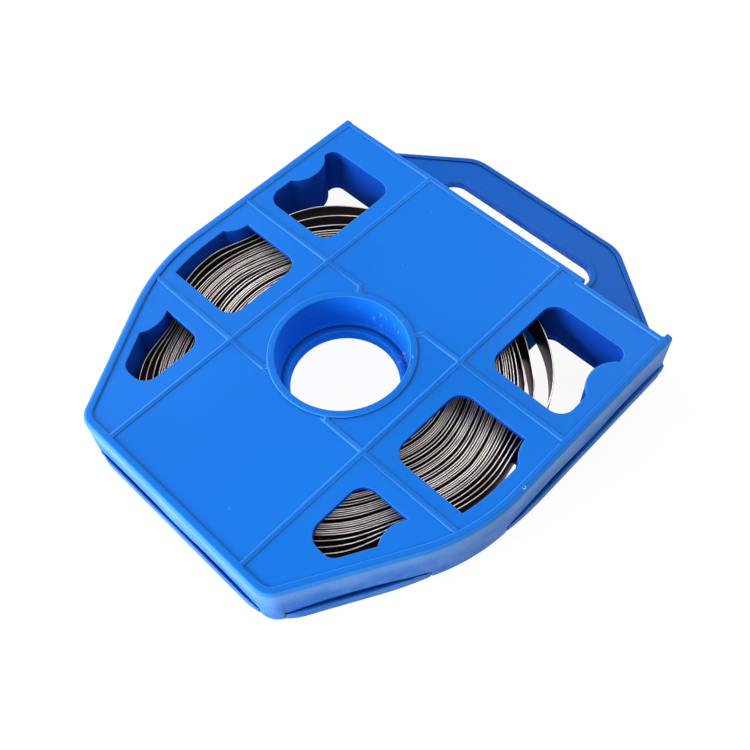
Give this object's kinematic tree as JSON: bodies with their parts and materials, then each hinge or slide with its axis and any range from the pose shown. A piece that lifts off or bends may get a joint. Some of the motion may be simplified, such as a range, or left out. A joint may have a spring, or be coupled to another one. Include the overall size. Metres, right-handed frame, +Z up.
{
  "type": "steel banding coil in a dispenser case",
  "caption": "Coil of flat stainless steel band lying in a blue moulded dispenser case with windows, a hub hole and a carry handle.",
  "frame": {"origin": "on the axis of the hub, in the plane of the tray's underside", "axes": "+Y from the hub towards the carry handle, +Z up out of the cover, +X towards the side with the band's exit"},
  "size_m": [0.2498, 0.3024, 0.033],
  "materials": {
    "case_shell": "satin moulded polypropylene, cobalt blue",
    "case_tray": "satin moulded polypropylene, cobalt blue",
    "band": "cold-rolled stainless steel with bright slit edges"
  },
  "bodies": {
    "root": {"top_cover": "case_shell", "bottom_tray": "case_tray", "steel_band": "band"}
  },
  "joints": []
}
